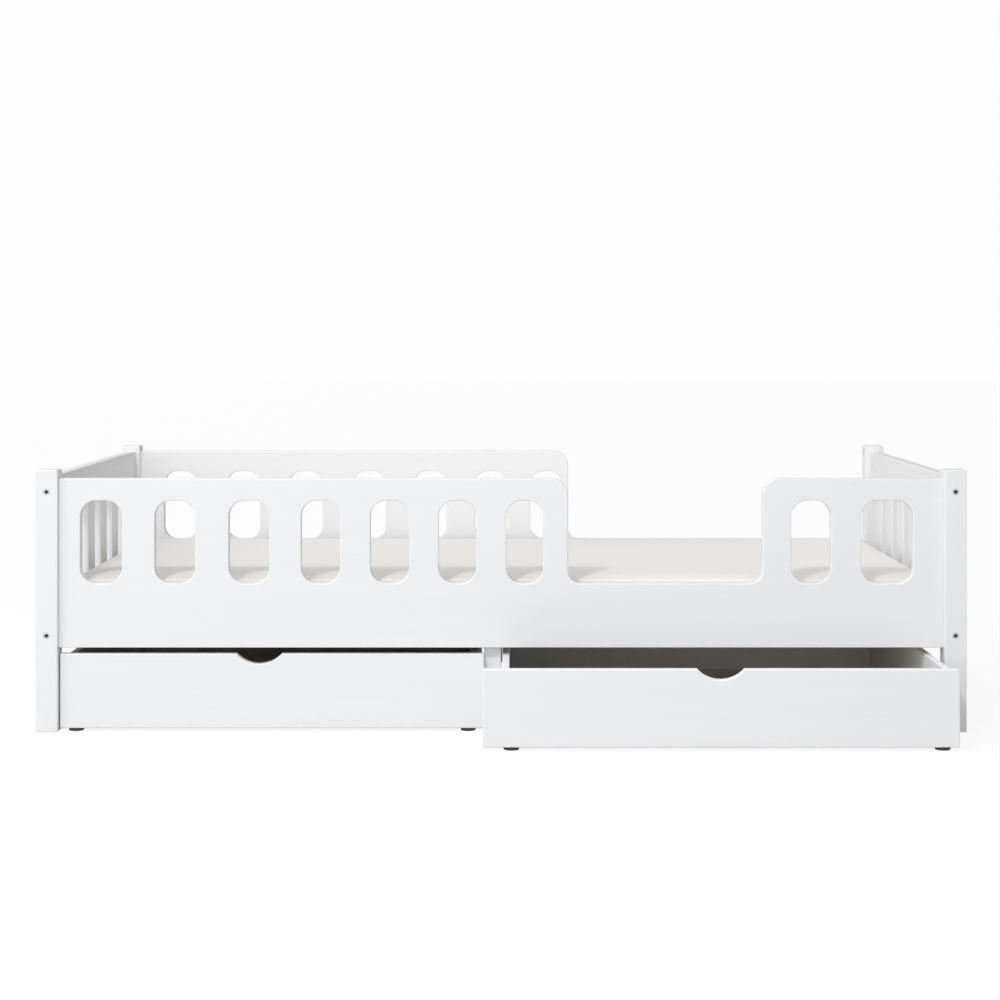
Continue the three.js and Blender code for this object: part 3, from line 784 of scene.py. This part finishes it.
# %% Drawer boards
DRAWER_EASE = 0.0018
WALL_EASE = 0.0012
SHEET_EASE = 0.0006
for side in ("left", "right"):
    eased_solid(f"{side}_drawer_front", board_white, DRAWER_EASE, Y_AXIS)
    for wall in ("side_left", "side_right"):
        eased_solid(f"{side}_drawer_{wall}", pine_white["y"], WALL_EASE)
    eased_solid(f"{side}_drawer_back", pine_white["x"], WALL_EASE)
    eased_solid(f"{side}_drawer_bottom", hardboard_white, SHEET_EASE)
print("drawer boards done")

# %% [markdown]
# ## The roll-out base
# The solid in the frame is one grille. The real one is thirteen loose birch slats tied by two
# tapes, so that it rolls up for posting. One slat is modelled from a cube, its edges rounded, and
# copied along the bed. One staple holds each slat to each tape.

# %% One slat
BASE_LOW, BASE_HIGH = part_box("roll_slat_base")
SLAT_COUNT = 13
SLAT_WIDTH = 0.070
SLAT_THICKNESS = 0.014
SLAT_EASE = 0.0025
SLAT_LENGTH = BASE_HIGH.y - BASE_LOW.y
BASE_MIDDLE_Y = (BASE_HIGH.y + BASE_LOW.y) / 2
SLAT_MIDDLE_Z = BASE_LOW.z + SLAT_THICKNESS / 2
SLAT_PITCH = (BASE_HIGH.x - BASE_LOW.x - SLAT_WIDTH) / (SLAT_COUNT - 1)


def apply_place(piece):
    """Moves an object's place, turn and scale into its mesh."""
    only(piece)
    bpy.ops.object.transform_apply(location=True, rotation=True, scale=True)


def box_at(name, middle, size):
    """A cube primitive with its place and size applied to its mesh."""
    bpy.ops.object.select_all(action="DESELECT")
    bpy.ops.mesh.primitive_cube_add(size=1, location=middle, scale=size)
    piece = bpy.context.object
    piece.name = name
    apply_place(piece)
    return piece


def copy_moved(piece, name, offset):
    """A copy with its own mesh, moved inside the mesh."""
    twin = piece.copy()
    twin.data = piece.data.copy()
    twin.name = name
    bpy.context.scene.collection.objects.link(twin)
    twin.location = offset
    apply_place(twin)
    return twin


def finish_piece(piece, material, body):
    """Gives a new piece its finish and the body it moves with."""
    piece.data.materials.clear()
    piece.data.materials.append(material)
    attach(piece, body)


slat_middle = (BASE_LOW.x + SLAT_WIDTH / 2, BASE_MIDDLE_Y, SLAT_MIDDLE_Z)
first_slat = box_at("base_slat_1", slat_middle, (SLAT_WIDTH, SLAT_LENGTH, SLAT_THICKNESS))
ease(first_slat, SLAT_EASE)
base_slats = [first_slat]
for index in range(1, SLAT_COUNT):
    twin = copy_moved(first_slat, f"base_slat_{index + 1}", (index * SLAT_PITCH, 0, 0))
    base_slats.append(twin)
for slat in base_slats:
    finish_piece(slat, birch["y"], BODY_OF["roll_slat_base"])
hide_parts("roll_slat_base")
print("base slats:", len(base_slats), "at a pitch of", round(SLAT_PITCH, 4))

# %% Tapes and staples
TAPE_INSET = 0.150
TAPE_EASE = 0.0003
STAPLE_SIZE = (0.0011, 0.011, 0.0007)
STAPLE_EASE = 0.0002
TAPE_SIZE = (BASE_HIGH.x - BASE_LOW.x - SLAT_WIDTH, 0.024, 0.0012)
BASE_MIDDLE_X = (BASE_HIGH.x + BASE_LOW.x) / 2
tape_z = BASE_LOW.z - TAPE_SIZE[2] / 2
staple_pieces = []
for face, side in (("front", -1), ("rear", 1)):
    tape_y = BASE_MIDDLE_Y + side * (SLAT_LENGTH / 2 - TAPE_INSET)
    ribbon = box_at(f"tape_{face}", (BASE_MIDDLE_X, tape_y, tape_z), TAPE_SIZE)
    ease(ribbon, TAPE_EASE, segments=2)
    finish_piece(ribbon, tape, BODY_OF["roll_slat_base"])
    for index in range(SLAT_COUNT):
        place = (
            BASE_LOW.x + SLAT_WIDTH / 2 + index * SLAT_PITCH,
            tape_y,
            tape_z - TAPE_SIZE[2] / 2,
        )
        staple = box_at(f"staple_{face}_{index + 1}", place, STAPLE_SIZE)
        ease(staple, STAPLE_EASE, segments=2)
        finish_piece(staple, zinc, BODY_OF["roll_slat_base"])
        staple_pieces.append(staple)
print("staples:", len(staple_pieces))

# %% [markdown]
# ## Bolts and barrel nuts
# Eight socket head bolts run through the posts into the end rails. Each head is a short cylinder
# with a chamfered rim and a six-sided socket, sunk just under the face of the post. Inside the
# rail it screws into a barrel nut, whose slotted end shows as a small disc on the rail's inner
# face. One of each is modelled and copied.

# %% One bolt
BOLT_LOW, BOLT_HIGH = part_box("bolt_front_left_lower")
HEAD_RADIUS = 0.0054
HEAD_HEIGHT = 0.006
SHANK_RADIUS = 0.003
HEAD_CHAMFER = 0.0004
SOCKET_FLAT = 0.003
SOCKET_CORNER = SOCKET_FLAT / math.cos(math.radians(30))
SOCKET_DEPTH = 0.0035
TOOL_OVERSHOOT = 0.002
FITTING_ANGLE = math.radians(35)
BOLT_X = (BOLT_LOW.x + BOLT_HIGH.x) / 2
BOLT_Z = (BOLT_LOW.z + BOLT_HIGH.z) / 2


def rod(name, radius, low_y, high_y, x, z, sides=32):
    """A cylinder along Y, between two places."""
    bpy.ops.object.select_all(action="DESELECT")
    bpy.ops.mesh.primitive_cylinder_add(
        vertices=sides,
        radius=radius,
        depth=high_y - low_y,
        location=(x, (low_y + high_y) / 2, z),
        rotation=(math.radians(90), 0, 0),
    )
    piece = bpy.context.object
    piece.name = name
    apply_place(piece)
    return piece


def bevel_rim(piece, at_y, width):
    """Bevels the circle of edges that lies at one height along Y."""
    bpy.ops.object.mode_set(mode="EDIT")
    mesh = bmesh.from_edit_mesh(piece.data)
    bpy.ops.mesh.select_mode(type="EDGE")
    bpy.ops.mesh.select_all(action="DESELECT")
    for edge in mesh.edges:
        if all(abs(vert.co.y - at_y) < SAME_PLACE for vert in edge.verts):
            edge.select_set(True)
    bmesh.update_edit_mesh(piece.data)
    bpy.ops.mesh.bevel(offset=width, segments=2, affect="EDGES", clamp_overlap=True)
    bpy.ops.object.mode_set(mode="OBJECT")


head_end = BOLT_LOW.y + HEAD_HEIGHT
one_bolt = rod("new_bolt_front_left_lower", HEAD_RADIUS, BOLT_LOW.y, head_end, BOLT_X, BOLT_Z)
bpy.ops.object.mode_set(mode="EDIT")
choose_faces(one_bolt, lambda centre, normal: normal.y > 0.9)
bpy.ops.mesh.inset(thickness=HEAD_RADIUS - SHANK_RADIUS)
bpy.ops.mesh.extrude_region_move(TRANSFORM_OT_translate={"value": (0, BOLT_HIGH.y - head_end, 0)})
bpy.ops.object.mode_set(mode="OBJECT")
bevel_rim(one_bolt, BOLT_LOW.y, HEAD_CHAMFER)
socket_tool = rod(
    "socket_tool",
    SOCKET_CORNER,
    BOLT_LOW.y - TOOL_OVERSHOOT,
    BOLT_LOW.y + SOCKET_DEPTH,
    BOLT_X,
    BOLT_Z,
    sides=6,
)
socket_cut = one_bolt.modifiers.new("socket", "BOOLEAN")
socket_cut.operation = "DIFFERENCE"
socket_cut.object = socket_tool
only(one_bolt)
bpy.ops.object.modifier_apply(modifier=socket_cut.name)
bpy.data.objects.remove(socket_tool)
only(one_bolt)
bpy.ops.object.shade_smooth_by_angle(angle=FITTING_ANGLE)
print("bolt:", len(one_bolt.data.polygons), "faces")

# %% Eight bolts
# Faces of the socket lie within this reach of the bolt's axis, between these two depths.
SOCKET_REACH = 0.0034
SOCKET_FROM = 0.001
SOCKET_TO = 0.005


def turned_copy(piece, name, offset, about, degrees):
    """A copy turned about an upright line, then moved, all inside its mesh."""
    twin = copy_moved(piece, name, (0, 0, 0))
    only(twin)
    bpy.ops.object.mode_set(mode="EDIT")
    bpy.ops.mesh.select_all(action="SELECT")
    bpy.ops.transform.rotate(value=math.radians(degrees), orient_axis="Z", center_override=about)
    bpy.ops.transform.translate(value=offset)
    bpy.ops.object.mode_set(mode="OBJECT")
    return twin


bolt_nodes = [node for node in frame["nodes"] if node.startswith("bolt_")]
first_middle = (BOLT_LOW + BOLT_HIGH) / 2
bolts = []
for node in bolt_nodes:
    low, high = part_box(node)
    offset = (low + high) / 2 - first_middle
    if node == "bolt_front_left_lower":
        bolt = one_bolt
    elif "rear" in node:
        bolt = turned_copy(one_bolt, "new_" + node, offset, first_middle, 180)
    else:
        bolt = copy_moved(one_bolt, "new_" + node, offset)
    finish_piece(bolt, zinc, BODY_OF[node])
    # The faces inside the socket take the painted shade material, a near black that stands in for the
    # shade in the recess.
    bolt.data.materials.append(socket_shade)
    middle = (low + high) / 2
    head_face = high.y if "rear" in node else low.y
    for face in bolt.data.polygons:
        off_axis = math.hypot(face.center.x - middle.x, face.center.z - middle.z)
        depth = abs(face.center.y - head_face)
        face.material_index = int(off_axis < SOCKET_REACH and SOCKET_FROM < depth < SOCKET_TO)
    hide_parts(node)
    bolts.append(bolt)
print("bolts:", len(bolts))

# %% Barrel nuts on the inner faces of the end rails
NUT_RADIUS = 0.005
NUT_INSET = 0.012
NUT_LENGTH = 0.004
NUT_SUNK = 0.0017
NUT_SLOT = (0.0016, 0.007, 0.0012)
NUT_SLOT_OUT = 0.0003
nuts = []
for node in bolt_nodes:
    low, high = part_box(node)
    inward = -1 if "rear" in node else 1
    tip_y = high.y if "front" in node else low.y
    side, level = node.split("_")[2:]
    rail = frame["nodes"][f"end_rail_{side}_" + ("bottom" if level == "lower" else "top")]
    rail_low, rail_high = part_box(rail.name)
    toward = 1 if side == "left" else -1
    face_x = rail_high.x if side == "left" else rail_low.x
    nut_y = tip_y - inward * NUT_INSET
    nut_z = (low.z + high.z) / 2
    bpy.ops.object.select_all(action="DESELECT")
    bpy.ops.mesh.primitive_cylinder_add(
        vertices=28,
        radius=NUT_RADIUS,
        depth=NUT_LENGTH,
        location=(face_x - toward * NUT_SUNK, nut_y, nut_z),
        rotation=(0, math.radians(90), 0),
    )
    nut = bpy.context.object
    nut.name = node.replace("bolt", "barrel_nut")
    apply_place(nut)
    slot_place = (face_x + toward * NUT_SLOT_OUT, nut_y, nut_z)
    slot_cutter = box_at("slot_cutter", slot_place, NUT_SLOT)
    nut_cut = nut.modifiers.new("slot", "BOOLEAN")
    nut_cut.operation = "DIFFERENCE"
    nut_cut.object = slot_cutter
    only(nut)
    bpy.ops.object.modifier_apply(modifier=nut_cut.name)
    bpy.data.objects.remove(slot_cutter)
    only(nut)
    bpy.ops.object.shade_smooth_by_angle(angle=FITTING_ANGLE)
    finish_piece(nut, zinc, BODY_OF[node])
    nuts.append(nut)
print("barrel nuts:", len(nuts))

# %% [markdown]
# ## Glides
# Each drawer stands on four flat moulded glides nailed under its boards. One glide is a cylinder
# with a chamfered foot and a sunk nail hole in its sole. Seven more are copied to the places of
# the frame's own glides.

# %% One glide, then eight
GLIDE_NODES = [node for node in frame["nodes"] if "_glide_" in node]
NAIL_HOLE_INSET = 0.009
NAIL_HOLE_SLOPE = 0.0004
NAIL_HOLE_DEPTH = 0.0018
FOOT_CHAMFER = 0.0014
glide_low, glide_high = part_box(GLIDE_NODES[0])
glide_radius = (glide_high.x - glide_low.x) / 2
glide_middle = (glide_low + glide_high) / 2
bpy.ops.object.select_all(action="DESELECT")
bpy.ops.mesh.primitive_cylinder_add(
    vertices=40,
    radius=glide_radius,
    depth=glide_high.z - glide_low.z,
    location=glide_middle,
)
one_glide = bpy.context.object
one_glide.name = "new_" + GLIDE_NODES[0]
apply_place(one_glide)
bpy.ops.object.mode_set(mode="EDIT")
choose_faces(one_glide, lambda centre, normal: normal.z < -0.9)
bpy.ops.mesh.inset(thickness=NAIL_HOLE_INSET)
bpy.ops.mesh.inset(thickness=NAIL_HOLE_SLOPE, depth=-NAIL_HOLE_DEPTH)
mesh = bmesh.from_edit_mesh(one_glide.data)
bpy.ops.mesh.select_mode(type="EDGE")
bpy.ops.mesh.select_all(action="DESELECT")
for edge in mesh.edges:
    on_foot = all(abs(vert.co.z - glide_low.z) < SAME_PLACE for vert in edge.verts)
    on_rim = all(
        (vert.co.xy - glide_middle.xy).length > glide_radius - 0.0002 for vert in edge.verts
    )
    edge.select_set(on_foot and on_rim)
bmesh.update_edit_mesh(one_glide.data)
bpy.ops.mesh.bevel(offset=FOOT_CHAMFER, segments=3, affect="EDGES")
bpy.ops.object.mode_set(mode="OBJECT")
mark_selected_faces(one_glide)
bpy.ops.object.shade_smooth_by_angle(angle=FITTING_ANGLE)
glides = []
for node in GLIDE_NODES:
    low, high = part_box(node)
    if node == GLIDE_NODES[0]:
        glide = one_glide
    else:
        glide = copy_moved(one_glide, "new_" + node, (low + high) / 2 - glide_middle)
    finish_piece(glide, plastic, BODY_OF[node])
    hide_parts(node)
    glides.append(glide)
print("glides:", len(glides))

# %% [markdown]
# ## The mattress
# A foam mattress in a zipped cover: flat underneath where the slats hold it, just crowned on top,
# with soft rims and corners. A block with rounded corners is remeshed into even quads and swelled
# by a short cloth simulation, and each point may move only a few millimetres, because foam holds
# its shape. A subdivision smooths the result.

# %% The starting block
MATTRESS_LOW, MATTRESS_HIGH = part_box("mattress")
SIDE_SHRINK = 0.006
TOP_SHRINK = 0.002
RIM_RADIUS = 0.009
CORNER_RADIUS = 0.030
UPRIGHT_RISE = 0.01
block_low = Vector((MATTRESS_LOW.x + SIDE_SHRINK, MATTRESS_LOW.y + SIDE_SHRINK, MATTRESS_LOW.z))
block_high = Vector(
    (MATTRESS_HIGH.x - SIDE_SHRINK, MATTRESS_HIGH.y - SIDE_SHRINK, MATTRESS_HIGH.z - TOP_SHRINK)
)
soft_mattress = box_at("soft_mattress", (block_low + block_high) / 2, block_high - block_low)
bpy.ops.object.mode_set(mode="EDIT")
mesh = bmesh.from_edit_mesh(soft_mattress.data)
bpy.ops.mesh.select_mode(type="EDGE")
bpy.ops.mesh.select_all(action="DESELECT")
for edge in mesh.edges:
    rise = abs(edge.verts[0].co.z - edge.verts[1].co.z)
    edge.select_set(rise > UPRIGHT_RISE)
bmesh.update_edit_mesh(soft_mattress.data)
bpy.ops.mesh.bevel(offset=CORNER_RADIUS, segments=8, affect="EDGES")
mesh = bmesh.from_edit_mesh(soft_mattress.data)
bpy.ops.mesh.select_mode(type="EDGE")
bpy.ops.mesh.select_all(action="DESELECT")
for edge in mesh.edges:
    heights = [vert.co.z for vert in edge.verts]
    flat = abs(heights[0] - heights[1]) < 0.0001
    sharp = edge.calc_face_angle() > math.radians(60)
    edge.select_set(flat and sharp)
bmesh.update_edit_mesh(soft_mattress.data)
bpy.ops.mesh.bevel(offset=RIM_RADIUS, segments=4, affect="EDGES")
bpy.ops.object.mode_set(mode="OBJECT")
print("mattress block:", [round(value, 3) for value in soft_mattress.dimensions])

# %% Remesh and swell
VOXEL = 0.010
MOST_MOVE = 0.005
SWELL_FRAMES = 20
SWELL_PRESSURE = 4
POINT_MASS = 0.4
soft_mattress.data.remesh_voxel_size = VOXEL
only(soft_mattress)
bpy.ops.object.voxel_remesh()


def vertex_places(piece):
    """All the vertex places of a mesh as an array."""
    places = np.zeros(len(piece.data.vertices) * 3)
    piece.data.vertices.foreach_get("co", places)
    return places.reshape(-1, 3)


resting = vertex_places(soft_mattress)
cloth = soft_mattress.modifiers.new("swell", "CLOTH")
cloth.settings.use_pressure = True
cloth.settings.uniform_pressure_force = SWELL_PRESSURE
cloth.settings.effector_weights.gravity = 0
cloth.settings.quality = 5
cloth.settings.mass = POINT_MASS
cloth.point_cache.frame_start = 1
cloth.point_cache.frame_end = SWELL_FRAMES
for step in range(1, SWELL_FRAMES + 1):
    scene.frame_set(step)
only(soft_mattress)
bpy.ops.object.modifier_apply(modifier=cloth.name)
scene.frame_set(1)
moved = vertex_places(soft_mattress) - resting
distance = np.linalg.norm(moved, axis=1, keepdims=True)
capped = resting + moved * np.minimum(1, MOST_MOVE / np.maximum(distance, 1e-9))
capped[:, 2] = np.maximum(capped[:, 2], MATTRESS_LOW.z)
soft_mattress.data.vertices.foreach_set("co", capped.ravel())
soft_mattress.data.update()
print("largest move:", round(float(distance.max()), 4), "capped at", MOST_MOVE)
only(soft_mattress)
smooth = soft_mattress.modifiers.new("smooth", "SUBSURF")
smooth.levels = 1
smooth.render_levels = 1
bpy.ops.object.modifier_apply(modifier=smooth.name)
bpy.ops.object.shade_smooth()
finish_piece(soft_mattress, ticking, BODY_OF["mattress"])
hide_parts("mattress")
print("mattress:", [round(value, 3) for value in soft_mattress.dimensions])
